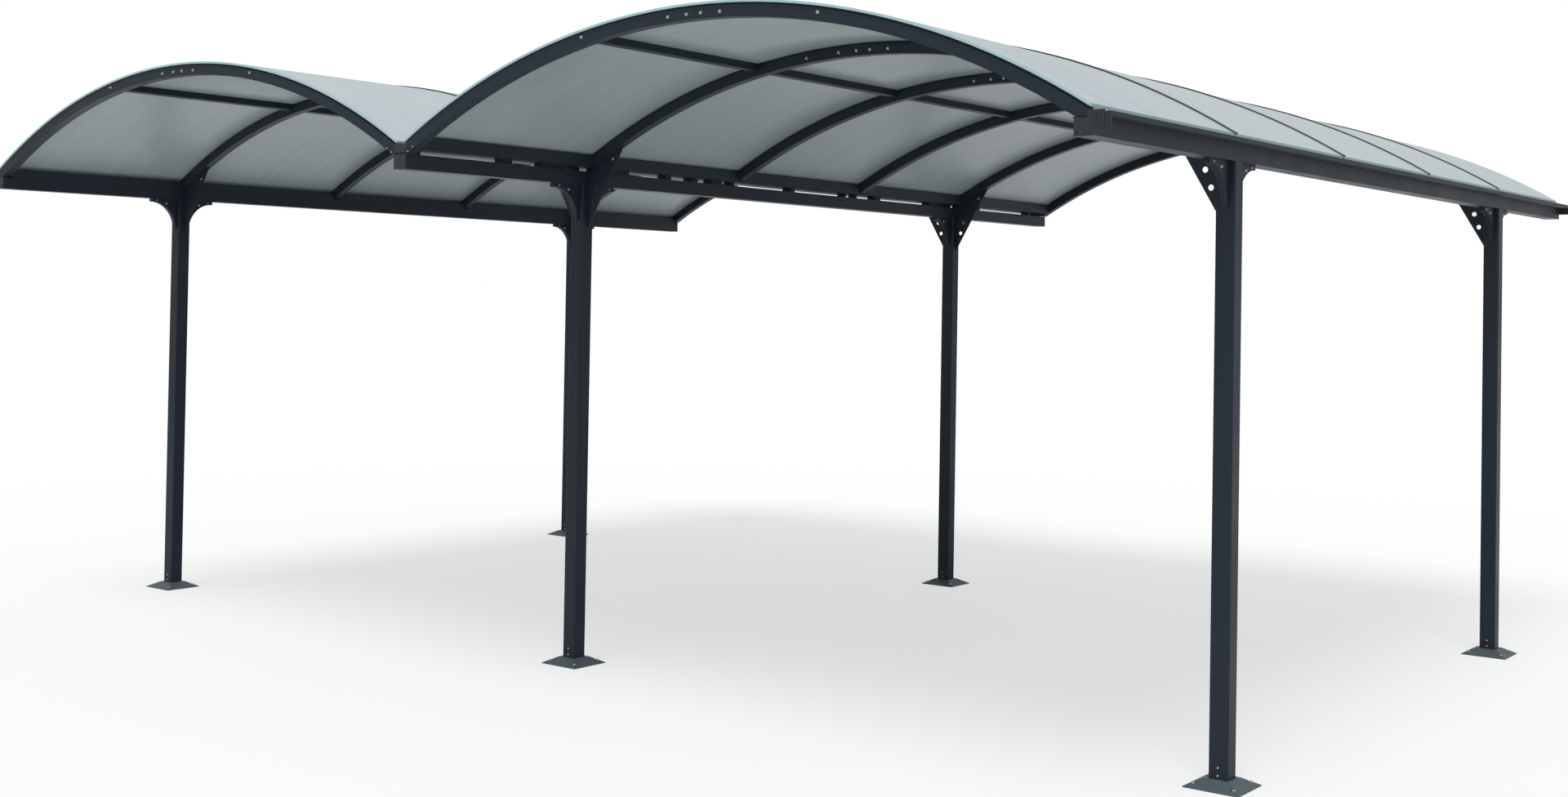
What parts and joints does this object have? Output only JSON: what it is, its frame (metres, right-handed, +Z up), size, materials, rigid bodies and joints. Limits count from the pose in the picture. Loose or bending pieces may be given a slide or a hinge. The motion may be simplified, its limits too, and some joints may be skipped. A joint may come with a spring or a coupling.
{
  "type": "double carport",
  "caption": "Double carport with twin curved polycarbonate roofs, a shared valley gutter, curved ribs and square posts.",
  "frame": {"origin": "on the floor, in the middle of the plan", "axes": "+X across both bays, +Y from the front to the back, +Z up"},
  "size_m": [5.785, 4.89, 2.4676],
  "materials": {
    "frame_paint": "anthracite powder coat, satin",
    "roof_sheet": "translucent twin-wall polycarbonate, glossy",
    "strip_plastic": "dark grey extruded strip, satin",
    "foot_plastic": "anthracite, satin",
    "cap_plastic": "moulded dark grey plastic, satin"
  },
  "bodies": {
    "root": {"beam_left": "frame_paint", "beam_middle": "frame_paint", "beam_right": "frame_paint", "cover_strips_left": "strip_plastic", "cover_strips_right": "strip_plastic", "gutter_end_caps": "cap_plastic", "gutter_left": "frame_paint", "gutter_right": "frame_paint", "head_brackets_left": "frame_paint", "head_brackets_middle": "frame_paint", "head_brackets_right": "frame_paint", "post_back_left": "frame_paint", "post_back_middle": "frame_paint", "post_back_right": "frame_paint", "post_feet_left": "foot_plastic", "post_feet_middle": "foot_plastic", "post_feet_right": "foot_plastic", "post_front_left": "frame_paint", "post_front_middle": "frame_paint", "post_front_right": "frame_paint", "purlins_left": "frame_paint", "purlins_right": "frame_paint", "rib_left_1": "frame_paint", "rib_left_2": "frame_paint", "rib_left_3": "frame_paint", "rib_left_4": "frame_paint", "rib_left_5": "frame_paint", "rib_left_6": "frame_paint", "rib_right_1": "frame_paint", "rib_right_2": "frame_paint", "rib_right_3": "frame_paint", "rib_right_4": "frame_paint", "rib_right_5": "frame_paint", "rib_right_6": "frame_paint", "roof_sheet_left_1": "roof_sheet", "roof_sheet_left_2": "roof_sheet", "roof_sheet_left_3": "roof_sheet", "roof_sheet_left_4": "roof_sheet", "roof_sheet_left_5": "roof_sheet", "roof_sheet_right_1": "roof_sheet", "roof_sheet_right_2": "roof_sheet", "roof_sheet_right_3": "roof_sheet", "roof_sheet_right_4": "roof_sheet", "roof_sheet_right_5": "roof_sheet", "valley_blocks": "frame_paint", "valley_gutter": "frame_paint"}
  },
  "joints": []
}
